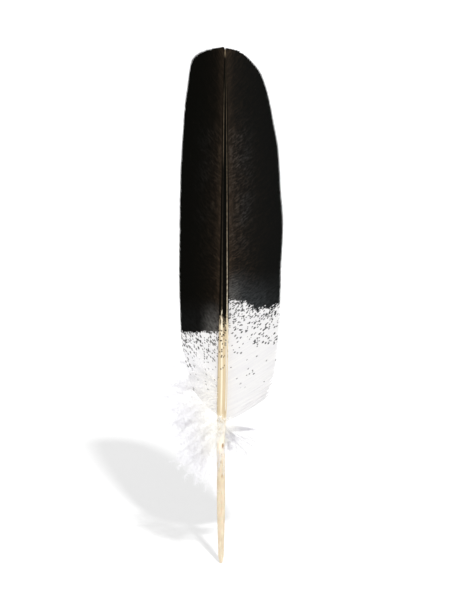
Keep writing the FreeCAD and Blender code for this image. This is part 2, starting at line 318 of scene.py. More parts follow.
# Kinds of drops below the edge, as (size, share of the places that hold one, reach, and
# smallest and largest radius in sizes).
DROP_KINDS = [
    (1.2, 0.45, 16.0, 0.25, 0.47),
    (1.9, 0.24, 16.5, 0.17, 0.30),
    (0.85, 0.34, 14.0, 0.25, 0.46),
]
DROP_FALL_OFF = 3.0
DROP_SHIFT = 40.0
SPATTER_END = (-42.0, -54.0)
PAINTED_LIGHT_ROOTS = (94.0, 118.0)
BROWN_SHEEN_FADES = (205.0, 275.0)
WORN_SHEEN_BEGINS = (172.0, 205.0)
WORN_SHEEN_ENDS = (240.0, 272.0)
THIN_PAINT = (2.0, 24.0)
GREY_BESIDE_SHAFT = (3.0, 20.0)


def vane_material():
    """White barbs, painted black above a ragged edge and spattered below it."""
    r = Recipe("barbs")
    x, _, z = r.parts(r.place_mm())
    along, root, chance = r.parts(r.attribute("barb"))
    on_right = r.ramp(x, 1.2, 2.4)

    def by_side(left, right):
        """One number on the narrow (left) vane and another on the wide one."""
        return r.scaled(on_right, right - left, left)

    def barb_noise(along_scale, root_scale, detail, roughness=0.5):
        """Noise drawn out along the barbs, by its scales along a barb and across them."""
        place = r.joined(r.times(along, along_scale), r.times(root, root_scale))
        return r.noise(place, 1.0, detail, roughness)

    dip = r.ramp(x, *EDGE_DIP, 0.0, -EDGE_DIP_DEPTH)
    lift = r.ramp(x, *EDGE_LIFT, 0.0, EDGE_LIFT_HEIGHT)
    right_edge = r.plus(RIGHT_PAINT_EDGE, r.plus(dip, lift))
    edge = r.scaled(on_right, r.minus(right_edge, LEFT_PAINT_EDGE), LEFT_PAINT_EDGE)
    drift = r.minus(r.noise(r.joined(x, z), 0.22, 5.0, 0.6), 0.5)
    height = r.plus(r.minus(z, edge), r.times(drift, by_side(3.0, 4.5)))

    drop_along = r.times(along, by_side(1.05, 0.75))
    drop_stretch = by_side(0.75, 0.95)

    def drops(size):
        """Scattered points: the distance to the nearest, and three chances for each."""
        drop_up = r.scaled(root, drop_stretch, size * DROP_SHIFT)
        return r.cells(r.joined(drop_along, drop_up), 1 / size)

    scatter = r.minus(drops(EDGE_GRAIN)[1][0], 0.5)
    ragged = r.times(scatter, by_side(2.6, 3.8))
    solid = r.ramp(r.plus(height, ragged), -0.15, 0.15)
    below = r.larger(r.times(height, -1.0), 0.0)
    side_reach = by_side(0.75, 1.0)

    def specks(size, most, reach, smallest, largest):
        """Drops of one kind, fewer the further below the edge."""
        distance, chances = drops(size)
        far = r.power(r.over(below, r.times(side_reach, reach)), DROP_FALL_OFF)
        present = r.math("LESS_THAN", chances[0], r.over(most, r.plus(far, 1.0)))
        radius = r.scaled(chances[1], largest - smallest, smallest)
        drop = r.ramp(r.minus(radius, distance), -0.05, 0.05)
        return r.times(r.times(drop, present), r.scaled(chances[2], 0.25, 0.75))

    spatter = 0.0
    for kind in DROP_KINDS:
        spatter = r.larger(spatter, specks(*kind))
    in_reach = r.ramp(height, *SPATTER_END, 1.0, 0.0)
    paint = r.larger(solid, r.times(spatter, in_reach))

    shade = r.scaled(chance, 0.25, r.times(barb_noise(0.12, 1.1, 4.0, 0.6), 0.75))
    white = r.mix(r.ramp(shade, 0.2, 0.85), BARE_BARB, SHADED_BARB)
    # Painted light: the narrow vane's lowest barbs, shaded by the down in front, are made paler as if lit.
    painted_light = r.times(r.ramp(root, *PAINTED_LIGHT_ROOTS, 0.9, 0.0), r.ramp(x, 4.0, 0.0))
    white = r.mix(painted_light, white, PAINTED_LIGHT_BARB)

    # Brown beside the shaft, fading outwards and upwards: partly brown showing through thin paint, partly painted
    # sheen.
    mist = barb_noise(0.5, 1.3, 6.0, 0.75)
    broad = barb_noise(0.10, 0.4, 5.0, 0.7)
    wear_and_sheen_mottle = r.times(r.ramp(mist, 0.46, 0.59), r.ramp(broad, 0.38, 0.60, 0.25, 1.25))
    upward = r.ramp(z, *BROWN_SHEEN_FADES, 1.0, 0.35)
    near_shaft = r.math("EXPONENT", r.times(r.over(along, by_side(5.0, 9.5)), -1.2))
    mottled = r.scaled(wear_and_sheen_mottle, 1.3, 0.2)
    mottled = r.scaled(r.ramp(along, 1.5, 6.0, 1.0, 0.0), 0.45, mottled)
    black = r.mix(r.times(on_right, 0.06), PAINT, COLD_PAINT)
    black = r.mix(r.times(r.times(near_shaft, upward), mottled), black, BROWN_AND_SHEEN_PAINT)

    # Worn patches at the middle of the painted stretch, mostly on the wide vane: partly worn paint, partly painted
    # sheen.
    worn_sheen_high = r.times(r.ramp(z, *WORN_SHEEN_BEGINS), r.ramp(z, *WORN_SHEEN_ENDS, 1.0, 0.0))
    worn_sheen_side = r.times(by_side(0.2, 1.0), r.ramp(along, 4.0, 20.0, 1.0, 0.0))
    patches = r.ramp(r.noise(r.joined(x, z, 3.0), 0.09, 3.0, 0.6), 0.38, 0.64, 0.15, 1.0)
    worn_and_sheen = r.times(r.times(worn_sheen_high, worn_sheen_side), r.times(patches, wear_and_sheen_mottle))
    black = r.mix(worn_and_sheen, black, r.mix(r.ramp(along, 5.0, 14.0), WORN_AND_SHEEN_PAINT, COLD_PAINT))

    # Thinner paint just above the edge, greyest beside the shaft.
    thin = r.times(r.ramp(height, *THIN_PAINT, 1.0, 0.0), r.ramp(mist, 0.30, 0.70))
    thin = r.times(thin, r.ramp(x, 19.0, 32.0, 1.0, 0.35))
    black = r.mix(r.times(thin, by_side(0.15, 1.0)), black, COLD_PAINT)
    beside = r.times(r.ramp(x, -13.0, -4.0), r.ramp(x, 5.0, 14.0, 1.0, 0.0))
    beside = r.times(beside, r.ramp(height, *GREY_BESIDE_SHAFT, 1.0, 0.0))
    black = r.mix(r.times(beside, r.ramp(mist, 0.36, 0.64, 0.08, 1.0)), black, GREY_PAINT)

    grain = r.noise(r.joined(along, r.times(root, 4.0)), 3.0, 3.0)
    r.bump(grain, 0.25, 0.06 * MM)
    return r.set(
        Base_Color=r.mix(paint, white, black),
        Roughness=r.scaled(barb_noise(0.55, 2.0, 3.0), 0.25, 0.6),
        Specular=0.02,
    )


SHAFT_PAINT_EDGE = (141.5, 144.5)
FOOT_LIGHT = (79.0, 90.0)
LIT_FLANK_ENDS = (160.0, 130.0)
FLECKS = (108.0, 142.0)
# The ridges are rubbed bare most just above the paint's edge, then less and less.
BARE_FROM = 145.0
BARE_FADING = 42.0
BARE_AGAIN_BEGINS = (232.0, 245.0)
BARE_AGAIN_ENDS = (272.0, 288.0)
BARE_TIP = (298.0, 302.0)
GROOVE_PLACE = 0.07


def shaft_material():
    """Grooved horn, black in the painted stretch but rubbed bare along its ridges."""
    r = Recipe("shaft_horn")
    _, _, z = r.parts(r.place_mm())
    around, crest_left, crest_right = r.parts(r.attribute("stem"))

    def stem_noise(around_scale, up_scale, detail, roughness):
        """Noise on the shaft's skin, by its scales around the shaft and along it."""
        place = r.joined(r.times(around, around_scale), r.times(z, up_scale))
        return r.noise(place, 1.0, detail, roughness)

    lines = stem_noise(14.0, 0.05, 4.0, 0.6)
    horn = r.mix(r.ramp(lines, 0.35, 0.75), HORN, HORN_DARK)
    sharp_left = r.power(crest_left, 2.2)
    sharp_right = r.power(crest_right, 2.2)
    # Painted highlights: cream along the ridges, full on the left one and faint on the right one.
    horn = r.mix(sharp_left, horn, CREAM_AND_HIGHLIGHT)
    horn = r.mix(r.times(sharp_right, 0.35), horn, CREAM_AND_HIGHLIGHT)
    # Painted light: a pale right flank below the paint, and a pale foot where light comes through the down.
    lit_flank = r.times(r.ramp(around, 0.30, 0.40), r.ramp(z, *LIT_FLANK_ENDS))
    foot = r.ramp(z, *FOOT_LIGHT, 0.85, 0.0)
    horn = r.mix(r.larger(r.times(lit_flank, 0.9), foot), horn, PALE_FLANK)

    # The paint begins lower in patches and on the ridges, and higher in the groove.
    drift = r.scaled(stem_noise(22.0, 0.30, 6.0, 0.75), 44.0, -21.0)
    level = r.plus(r.plus(z, drift), r.times(sharp_right, -9.0))
    level = r.plus(level, r.times(crest_left, -5.0))
    from_groove = r.math("ABSOLUTE", r.minus(around, GROOVE_PLACE))
    level = r.plus(level, r.ramp(from_groove, 0.02, 0.10, 8.0, 0.0))
    paint = r.ramp(level, *SHAFT_PAINT_EDGE)
    distance, chances = r.cells(r.joined(r.times(around, 6.0), r.times(z, 0.55)), 1.0)
    fleck = r.math("LESS_THAN", chances[0], r.ramp(z, *FLECKS, 0.0, 0.8))
    fleck = r.times(fleck, r.ramp(distance, 0.20, 0.34, 1.0, 0.0))
    paint = r.larger(paint, fleck)

    fading = r.math("EXPONENT", r.over(r.minus(BARE_FROM, z), BARE_FADING))
    narrow_right = r.power(crest_right, 4.0)
    bare_right = r.times(narrow_right, r.scaled(fading, 0.95, 0.10))
    window = r.times(r.ramp(z, *BARE_AGAIN_BEGINS), r.ramp(z, *BARE_AGAIN_ENDS, 1.0, 0.0))
    share_left = r.scaled(window, 0.16, r.scaled(fading, 0.10, 0.004))
    bare_left = r.times(sharp_left, share_left)
    tip = r.ramp(z, *BARE_TIP, 0.0, 0.30)
    bare = r.larger(r.larger(bare_left, bare_right), tip)
    broken = stem_noise(12.0, 0.55, 4.0, 0.7)
    bare = r.times(bare, r.ramp(broken, 0.34, 0.60, 0.35, 1.15))
    shown = r.times(paint, r.minus(1.0, bare))
    bare_horn = r.mix(r.times(narrow_right, fading), GOLD, CREAM_AND_HIGHLIGHT)
    r.bump(lines, 0.3, 0.12 * MM)
    return r.set(
        Base_Color=r.mix(shown, r.mix(paint, horn, bare_horn), PAINT),
        Roughness=r.ramp(lines, 0.2, 0.8, 0.5, 0.7),
        Specular=0.03,
    )


# Brown marks on the front of the barrel, as (across, up, half width, half height,
# strength): three spots, then the pit.
MARKS = [
    (0.3, 64.0, 0.5, 1.25, 0.5),
    (0.0, 60.0, 0.5, 1.25, 0.5),
    (0.6, 51.7, 0.5, 1.25, 0.5),
    (1.0, 69.4, 0.75, 1.9, 0.85),
]
PIT_ACROSS, PIT_UP = MARKS[-1][:2]
# The pulp caps show through the horn as faint rims; their stack is so many rims high.
CAP_RIMS = 5.5
BARREL_PALES = (54.0, 70.0)


def barrel_material():
    """Hard translucent horn with fine lines, brown spots and the pit's brown mark."""
    r = Recipe("barrel_horn")
    x, y, z = r.parts(r.place_mm())

    def skin_noise(across_scale, up_scale, detail, roughness):
        """Noise on the barrel's skin, by its scales across the barrel and along it."""
        place = r.joined(r.times(x, across_scale), r.times(y, across_scale), r.times(z, up_scale))
        return r.noise(place, 1.0, detail, roughness)

    lines = skin_noise(3.2, 0.06, 4.0, 0.6)
    clouds = skin_noise(0.6, 0.18, 2.0, 0.5)
    horn = r.mix(r.ramp(lines, 0.38, 0.78), PALE_HORN, HORN_DARK)
    horn = r.mix(r.ramp(clouds, 0.45, 0.75, 0.0, 0.35), horn, CREAM_AND_HIGHLIGHT)
    lowest, highest = (corner.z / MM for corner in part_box("pulp_caps"))
    pitch = (highest - lowest) / CAP_RIMS
    phase = r.math("FRACT", r.over(r.minus(z, lowest), pitch))
    rim = r.times(r.ramp(phase, 0.0, 0.12, 1.0, 0.0), r.ramp(z, lowest - 1, lowest + 1))
    horn = r.mix(r.times(rim, 0.16), horn, HORN_DARK)
    horn = r.mix(r.ramp(z, *BARREL_PALES, 0.0, 0.75), horn, PALE_FLANK)

    front = r.ramp(y, -1.6, -0.9, 1.0, 0.0)
    wobble = r.scaled(r.noise(r.joined(x, y, z), 1.6, 2.0), 0.8, -0.4)
    for across, up, half_wide, half_high, strength in MARKS:
        beside = r.over(r.plus(r.minus(x, across), wobble), half_wide)
        above = r.over(r.minus(z, up), half_high)
        far = r.math("SQRT", r.plus(r.times(beside, beside), r.times(above, above)))
        spot = r.times(front, r.ramp(far, 0.45, 1.2, strength, 0.0))
        horn = r.mix(spot, horn, MARK_BROWN)
    r.bump(lines, 0.25, 0.1 * MM)
    return r.set(
        Base_Color=horn,
        Roughness=r.ramp(lines, 0.2, 0.8, 0.30, 0.48),
        Specular=0.4,
        Subsurface_Weight=0.12,
        Subsurface_Scale=0.6 * MM,
    )


def down_material():
    """Fluff painted warm white near the shaft as painted light, and cool pale grey towards its tips as painted
    shade.
    """
    r = Recipe("down_fluff")
    chance, place, painted_shade = r.parts(r.attribute("fluff"))
    # Painted light near the shaft against the fluff's own shadow; painted shade towards the tips.
    outward = r.scaled(chance, 0.25, place)
    colour = r.mix(r.ramp(outward, 0.2, 0.92), LIT_INNER_DOWN, SHADED_OUTER_DOWN)
    # Painted shade: some bunches are pulled towards grey.
    colour = r.mix(painted_shade, colour, SHADED_GREY_DOWN)
    return r.set(
        Base_Color=colour,
        Roughness=r.ramp(chance, 0.0, 1.0, 0.7, 0.9),
        Specular=0.05,
        Sheen_Weight=0.5,
        Sheen_Roughness=0.6,
    )


def plain_inner(name, light, dark, scale):
    """Foam, skin or crust for the pieces inside."""
    r = Recipe(name)
    grain = r.noise(r.place_mm(), scale, 4.0, 0.6)
    r.bump(grain, 0.5, 0.2 * MM)
    return r.set(
        Base_Color=r.mix(grain, light, dark),
        Roughness=r.ramp(grain, 0.2, 0.8, 0.6, 0.9),
        Specular=0.2,
    )


# --------------------------------------------- the shaft's mesh

# The shaft's cross-section as (degrees on a circle, across, depth): a rounded back,
# flat sides and two ridges with a groove between them on the front.
SECTION = [
    (10, 1.00, 0.15),
    (42, 0.84, 0.72),
    (70, 0.36, 1.00),
    (110, -0.36, 1.00),
    (138, -0.84, 0.72),
    (170, -1.00, 0.15),
    (206, -0.94, -0.45),
    (236, -0.55, -0.88),
    (270, 0.00, -0.46),
    (304, 0.55, -0.88),
    (334, 0.94, -0.45),
]
RING = 66
SHAFT_ROWS = 150
PITH_ROWS = 110
CREST_PLACE = 0.56
CREST_SPREAD = 0.20
# Over its last stretch the shaft thins out to a hair, just short of the feather's tip.
HAIR_RADIUS = 0.12 * MM
HAIR_END = LENGTH - 0.4 * MM
PITH_INSET = 0.39 * MM


def closed_curve(knots, count):
    """Evenly spread points on a smooth closed curve through the knots."""
    knots = np.asarray(knots, float)
    n = len(knots)
    t = np.arange(count) * n / count
    i = t.astype(int)
    f = (t - i)[:, None]
    p0, p1, p2, p3 = (knots[(i + k) % n] for k in (-1, 0, 1, 2))
    square = 2 * p0 - 5 * p1 + 4 * p2 - p3
    cube = 3 * p1 - p0 - 3 * p2 + p3
    return 0.5 * (2 * p1 + (p2 - p0) * f + square * f**2 + cube * f**3)


# The groove's shifts towards +X, in half widths, and the heights over which they end.
GROOVE_SHIFTS = [(0.41, 100 * MM, 150 * MM), (0.15, 150 * MM, 200 * MM)]


def groove_shift(z):
    """How far the groove stands aside at a height, in half widths."""
    return sum(most * (1 - float(smoothstep(low, high, z))) for most, low, high in GROOVE_SHIFTS)


def shaft_ring(z, half):
    """Points of the shaft's outline at a height, and for each its place around the shaft
    and its nearness to the left and the right ridge."""
    grooved = float(np.clip(along_shaft(z) / 0.1, 0, 1))
    knots = []
    shift = groove_shift(z)
    for degrees, across, depth in SECTION:
        turn = math.radians(degrees)
        if depth < -0.45:
            across = across + shift * (1 - across**2)
        x = (1 - grooved) * math.cos(turn) + grooved * across
        y = (1 - grooved) * math.sin(turn) + grooved * depth * SHAFT_DEPTH_RATIO
        knots.append((x, y))
    outline = closed_curve(knots, RING)
    outline_x, outline_y = outline.T
    centre = np.array([axis_x(z), axis_y(z), z])
    points = centre + half * np.column_stack([outline, np.zeros(RING)])
    front = smoothstep(-0.45, -0.70, outline_y)
    crests = []
    for place in (-CREST_PLACE, CREST_PLACE):
        place = place + shift * (1 - place**2)
        crests.append(np.exp(-(((outline_x - place) / CREST_SPREAD) ** 2)) * front * grooved)
    around = np.arctan2(outline_x, -outline_y) / math.pi
    return points, np.column_stack([around, *crests])


def build_shaft():
    """The horn of the shaft, drawn out to a hair at the feather's tip, and its pith inside."""
    heights = np.linspace(PIT, SHAFT_TOP, SHAFT_ROWS)
    rings, stems = zip(*(shaft_ring(z, float(half_width(z))) for z in heights))
    hair, hair_stem = shaft_ring(SHAFT_TOP, HAIR_RADIUS)
    hair[:, 2] = HAIR_END
    points = np.array([*rings, hair])[None]
    vertices, faces = many_tubes(points)
    stem = np.concatenate([*stems, hair_stem])
    piece = new_piece("shaft_horn", vertices, faces, shaft_material(), "quill", {"stem": stem})
    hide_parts("shaft_cortex")

    low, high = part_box("shaft_pith")
    heights = np.linspace(low.z, high.z, PITH_ROWS)
    rings = [shaft_ring(z, float(half_width(z)) - PITH_INSET)[0] for z in heights]
    vertices, faces = many_tubes(np.array(rings)[None])
    foam = plain_inner("pith_foam", (0.85, 0.83, 0.77), (0.74, 0.70, 0.62), 2.5)
    piece = new_piece("pith_foam", vertices, faces, foam, "quill")
    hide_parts("shaft_pith")


# --------------------------------------- the barrel and the nib

WALL = PIT_RADIUS - 2.0 * MM
SCOOP_TOP = 35.0 * MM
SCOOP_FLAT = 22.0 * MM
SCOOP_RADIUS = 30.0 * MM
NIB_TIP_RADIUS = 1.55 * MM
SEAM = SLIT_ROOT + 1.5 * MM
POINT_RISE = 4.2 * MM
POINT_HALF_WIDTH = 0.45 * MM
SLIT_HALF = 0.05 * MM
NIB_THINS_OVER = 9 * MM
DENT_DEPTH = 0.28 * MM
DENT_HALF_WIDTH = 0.6 * MM
DENT_HALF_HEIGHT = 1.3 * MM
# Rows of points lie closer together from here up, around the pit's dent.
FINE_ROWS = 66.3 * MM
BARREL_COLUMNS = 61
NIB_COLUMNS = 15
FOOT_ROWS = 60


def horn_radius(z):
    """Outside of the horn foot: round and straight, tapering to the nib."""
    z = np.asarray(z, float)
    taper = smoothstep(-10 * MM, GRIP_LOW + 3 * MM, z)
    foot = NIB_TIP_RADIUS - 0.06 * MM
    low = foot + (GRIP_RADIUS - foot) * taper
    high = GRIP_RADIUS + (PIT_RADIUS - GRIP_RADIUS) * smoothstep(GRIP_HIGH, PIT, z)
    return np.where(z < GRIP_LOW, low, high)


def scoop_floor(z):
    """How far back in Y the horn reaches at a height."""
    z = np.asarray(z, float)
    rise = np.clip(z - SCOOP_FLAT, 0, SCOOP_RADIUS * 0.999)
    return NIB_SCOOP_FLOOR + SCOOP_RADIUS - np.sqrt(SCOOP_RADIUS**2 - rise**2)


def half_turn(z):
    """The horn's half angle from the front, round to the scoop's edge."""
    share = np.clip(-scoop_floor(z) / horn_radius(z), -1, 1)
    return np.arccos(share)


def point_turn(z):
    """The same, where the point is rounded off."""
    t = np.clip(np.asarray(z, float) / POINT_RISE, 0, 1)
    width = POINT_HALF_WIDTH + (NIB_TIP_RADIUS - POINT_HALF_WIDTH) * t**0.62
    turn = np.arcsin(np.clip(width / horn_radius(z), 0, 1))
    return np.where(t < 1, np.minimum(turn, half_turn(z)), half_turn(z))


def horn_row(z, turns, wall):
    """Outer and inner points of the wall at one height, with the pit's small dent."""
    beside = (horn_radius(z) * np.sin(turns) - PIT_ACROSS * MM) / DENT_HALF_WIDTH
    above = (z - PIT_UP * MM) / DENT_HALF_HEIGHT
    dent = np.exp(-(beside**2) - above**2) * (np.cos(turns) > 0)
    outer = horn_radius(z) - DENT_DEPTH * dent
    inner = horn_radius(z) - wall
    skin = np.column_stack([outer * np.sin(turns), -outer * np.cos(turns), np.full(len(turns), z)])
    bore = np.column_stack([inner * np.sin(turns), -inner * np.cos(turns), np.full(len(turns), z)])
    return np.concatenate([skin, bore[::-1]])


def build_barrel(material):
    """The horn tube, open at the back where it is scooped out."""
    columns = BARREL_COLUMNS
    curve = SCOOP_TOP - (SCOOP_TOP - SEAM) * np.linspace(1, 0, FOOT_ROWS) ** 1.6
    coarse = np.linspace(SCOOP_TOP, FINE_ROWS - 0.3 * MM, 30)[1:]
    full_from = len(curve) - 1
    heights = np.concatenate([curve, coarse, np.linspace(FINE_ROWS, PIT, 18)])
    rows = []
    for k, z in enumerate(heights):
        reach = math.pi if k >= full_from else float(half_turn(z))
        rows.append(horn_row(z, np.linspace(-reach, reach, columns), WALL))
    ring = 2 * columns
    faces = []
    for i in range(len(heights) - 1):
        low = i * ring
        high = low + ring
        for j in range(ring):
            k = (j + 1) % ring
            wall_face = j in (columns - 1, ring - 1)
            if wall_face and i >= full_from:
                continue
            faces.append((low + j, low + k, high + k, high + j))
    last = (len(heights) - 1) * ring
    for j in range(columns - 1):
        faces.append((ring - 1 - j, ring - 2 - j, j + 1, j))
        faces.append((last + j, last + j + 1, last + ring - 2 - j, last + ring - 1 - j))
    piece = new_piece("barrel_horn", np.concatenate(rows), faces, material, "quill", sharp=50)
    weld(piece, 1e-6)
    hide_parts("barrel")


def weld(piece, distance):
    """Joins points that lie on each other and turns all faces outwards."""
    shape = bmesh.new()
    shape.from_mesh(piece.data)
    bmesh.ops.remove_doubles(shape, verts=shape.verts, dist=distance)
    bmesh.ops.recalc_face_normals(shape, faces=shape.faces)
    shape.to_mesh(piece.data)
    shape.free()


def build_nib(side, sign, material):
    """One half of the split nib."""
    heights = SEAM * np.linspace(0, 1, FOOT_ROWS) ** 1.5
    rows = []
    for z in heights:
        inner_turn = math.asin(SLIT_HALF / float(horn_radius(z)))
        outer_turn = max(float(point_turn(z)), inner_turn + 0.02)
        wall = WALL * float(0.45 + 0.55 * smoothstep(0, NIB_THINS_OVER, z))
        start = inner_turn if z < SLIT_ROOT else 0.0
        rows.append(horn_row(z, sign * np.linspace(start, outer_turn, NIB_COLUMNS), wall))
    vertices, faces = many_tubes(np.array(rows)[None])
    piece = new_piece("nib_" + side, vertices, faces, material, sharp=50)
    weld(piece, 1e-7)
    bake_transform(piece)
    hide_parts("nib_tine_" + side)


# -------------------------------------------------------- vanes

# Each vane's edge as (height, reach from the axis), in shares of the overall
# length and of the vane's greatest width, from the base to the blunt tip.
LEFT_EDGE = [
    (0.31, 0.68),
    (0.36, 0.76),
    (0.44, 0.93),
    (0.56, 0.975),
    (0.74, 0.948),
    (0.86, 0.868),
    (0.945, 0.75),
    (0.975, 0.685),
    (0.988, 0.545),
    (0.995, 0.31),
    (1.00, 0.00),
]
RIGHT_EDGE = [
    (0.31, 0.754),
    (0.36, 0.85),
    (0.44, 0.928),
    (0.56, 0.968),
    (0.65, 1.00),
    (0.74, 0.957),
    (0.80, 0.928),
    (0.86, 0.845),
    (0.905, 0.768),
    (0.95, 0.643),
    (0.975, 0.47),
    (0.992, 0.30),
    (1.00, 0.00),
]


def smooth_through(points, x):
    """A curve through the points that never overshoots between them."""
    xs, ys = np.array(points, float).T
    slopes = np.diff(ys) / np.diff(xs)
    product = slopes[:-1] * slopes[1:]
    total = slopes[:-1] + slopes[1:]
    middle = np.where(product > 0, 2 * product / np.where(total == 0, 1, total), 0)
    tangents = np.concatenate([slopes[:1], middle, slopes[-1:]])
    x = np.clip(np.asarray(x, float), xs[0], xs[-1])
    k = np.clip(np.searchsorted(xs, x, side="right") - 1, 0, len(xs) - 2)
    span = xs[k + 1] - xs[k]
    t = (x - xs[k]) / span
    start = (1 + 2 * t) * (1 - t) ** 2 * ys[k] + t * (1 - t) ** 2 * span * tangents[k]
    return start + t * t * (3 - 2 * t) * ys[k + 1] + t * t * (t - 1) * span * tangents[k + 1]


VANE_END = 302.6 * MM
# Barbs begin this far inside the shaft's side, and at its middle where it ends.
ROOT_DEPTH = 0.12 * MM
SHAFT_FADES = (298 * MM, 302 * MM)
SHORTEST_BARB = 0.3 * MM


class Vane:
    """One side's barbs: where each leaves the shaft, how it runs and how far it reaches.

    The angles are (share of the way up, degrees between barb and shaft)."""

    def __init__(self, side, edge, width, base, cup, angles):
        self.side = side
        self.edge = edge
        self.width = width
        self.base = base
        self.cup = cup
        self.angles = angles

    def climb(self, root):
        """How far up a barb runs for each unit outwards."""
        share = (root - self.base) / (VANE_END - self.base)
        return 1 / np.tan(np.radians(smooth_through(self.angles, share)))

    def span(self, root):
        """How far out from its root the barb that leaves at each root ends."""
        low = np.zeros_like(root)
        high = np.full_like(root, self.width * 1.5)
        climb = self.climb(root)
        lean = self.side * axis_x(root)
        for _ in range(40):
            middle = (low + high) / 2
            tip = root + middle * climb
            edge = self.width * smooth_through(self.edge, tip / LENGTH)
            inside = (tip < LENGTH) & (edge > middle + lean)
            low = np.where(inside, middle, low)
            high = np.where(inside, high, middle)
        return low

    def points(self, root, t, span):
        """Points a share t along the barbs that leave at these roots."""
        start = (half_width(root) - ROOT_DEPTH) * (1 - smoothstep(*SHAFT_FADES, root))
        offset = start + t * np.maximum(span - start, SHORTEST_BARB)
        z = root + span * self.climb(root) * t * (0.75 + 0.25 * t)
        depth = 0.2 * half_width(root) - self.cup * (offset / self.width) ** 2
        x = axis_x(root) + self.side * offset
        return np.stack([x, axis_y(z) + depth, z], axis=-1)


WEB_COUNT = 5
BARB_ROWS = 24
# The lowest barbs are loose: they end raggedly and wave in and out of the vane's plane.
LOOSE_HEIGHT = 7 * MM
LOOSE_RAGGED = 2.0 * MM
LOOSE_SWING = 0.5 * MM
SWING = 0.05 * MM
# How much single barbs and groups of them differ in length.
JITTER = 0.09 * MM
DRIFT = 0.10 * MM
DRIFT_BARBS = 21
DRIFT_SCALE = 4.6
# A barb's section: a ribbon a little wider than the gap, tilted over the next, and a rib.
OVERLAP = 0.62
RIBBON_TILT = 0.04 * MM
RIB_HEIGHT = 0.055 * MM


def build_vane(side, vane, pitch, material, splits):
    """All the barbs of one vane, each a thin closed ribbon with a raised midrib.

    The splits are (height in millimetres, share of the length lost, height over which
    the barbs below it are shorter)."""
    count = WEB_COUNT * int((VANE_END - vane.base) / pitch / WEB_COUNT)
    root = vane.base + (VANE_END - vane.base) * (np.arange(count) + 0.5) / count
    t = np.linspace(0, 1, BARB_ROWS)
    loose = np.exp(-(root - vane.base) / LOOSE_HEIGHT)
    jitter = dice.normal(0, 1, count)
    steps = dice.normal(0, 1, count + DRIFT_BARBS - 1)
    drift = np.convolve(steps, np.ones(DRIFT_BARBS) / DRIFT_SCALE, "valid")
    slant = 1 / np.sqrt(1 + vane.climb(root) ** 2)
    uneven = JITTER * jitter + DRIFT * drift - LOOSE_RAGGED * loose * abs(jitter)
    span = vane.span(root) + uneven * slant
    for place, depth, spread in splits:
        below = (place - root / MM) / spread
        span = span * (1 - depth * np.where(below > 0, np.exp(-np.abs(below)), 0))
    grid_root = root[:, None] + 0 * t
    grid_t = t[None, :] + 0 * grid_root
    grid_span = span[:, None] + 0 * t
    centre = vane.points(grid_root, grid_t, grid_span)
    phase = dice.uniform(0, 6.3, count)[:, None]
    swing = SWING + LOOSE_SWING * loose[:, None]
    centre[..., 1] += swing * np.sin(grid_t * 7 + phase) * grid_t
    tangent = np.gradient(centre, axis=1)
    tangent /= np.linalg.norm(tangent, axis=-1, keepdims=True)
    neighbour = np.gradient(centre, axis=0)
    spacing = neighbour - (neighbour * tangent).sum(-1, keepdims=True) * tangent
    gap = np.linalg.norm(spacing, axis=-1, keepdims=True)
    across = spacing / gap
    normal = np.cross(tangent, across)
    normal *= np.sign(-normal[..., 1:2])
    taper = (1 - smoothstep(0.975, 1.0, grid_t) * 0.6)[..., None]
    half = np.clip(gap * OVERLAP, 0.05 * MM, 0.5 * MM) * taper
    rib = RIB_HEIGHT * (1 - 0.6 * grid_t)[..., None]
    tilt = normal * RIBBON_TILT
    ring = np.stack(
        [
            centre - across * half + tilt,
            centre + normal * rib + 0.4 * tilt,
            centre + across * half - tilt,
            centre - normal * rib,
        ],
        axis=2,
    )
    along = np.abs(centre[..., 0] - axis_x(grid_root)) / MM
    chance = np.repeat(dice.uniform(0, 1, count)[:, None], BARB_ROWS, 1)
    info = np.stack([along, grid_root / MM, chance], -1)
    info = np.repeat(info[:, :, None, :], 4, axis=2)
    info[..., 1] += np.array([-0.45, 0, 0.45, 0]) * (pitch / MM)
    per_web = count // WEB_COUNT
    for k in range(WEB_COUNT):
        part = slice(k * per_web, (k + 1) * per_web)
        vertices, faces = many_tubes(ring[part])
        name = "%s_vane_barbs_%d" % (side, k + 1)
        piece = new_piece(name, vertices, faces, material, "quill", {"barb": info[part]}, sharp=60)
        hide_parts("%s_vane_web_%d" % (side, k + 1))


# --------------------------------------------------------- down


def strands(starts, directions, lengths, thickness, droop, curl, rows, ring=3):
    """Thin tapered threads that start out along their directions, then droop and curl."""
    t = np.linspace(0, 1, rows)
    step = (lengths / (rows - 1))[:, None]
    heading = directions / np.linalg.norm(directions, axis=1, keepdims=True)
    pull = (droop[:, None] * np.array([0, 0, -1.0]) + curl) / (rows - 1)
    places = [starts]
    headings = [heading]
    for _ in range(rows - 1):
        heading = heading + pull
        heading = heading / np.linalg.norm(heading, axis=1, keepdims=True)
        places.append(places[-1] + heading * step)
        headings.append(heading)
    centre = np.stack(places, 1)
    tangent = np.stack(headings, 1)
    side = np.cross(tangent, np.array([0.31, -0.87, 0.38]))
    side /= np.linalg.norm(side, axis=-1, keepdims=True)
    other = np.cross(tangent, side)
    radius = (thickness[:, None] * (1 - 0.8 * t[None, :]))[..., None]
    turns = 2 * math.pi * np.arange(ring) / ring
    rings = [centre + radius * (math.cos(turn) * side + math.sin(turn) * other) for turn in turns]
    rings = np.stack(rings, 2)
    rings[:, -1] = centre[:, -1, None]
    return centre, tangent, rings


DOWN_BARB_ROWS = 12
BARBULE_ROWS = 3
STEM_RADIUS = 0.055 * MM
BARBULE_RADIUS = 0.06 * MM


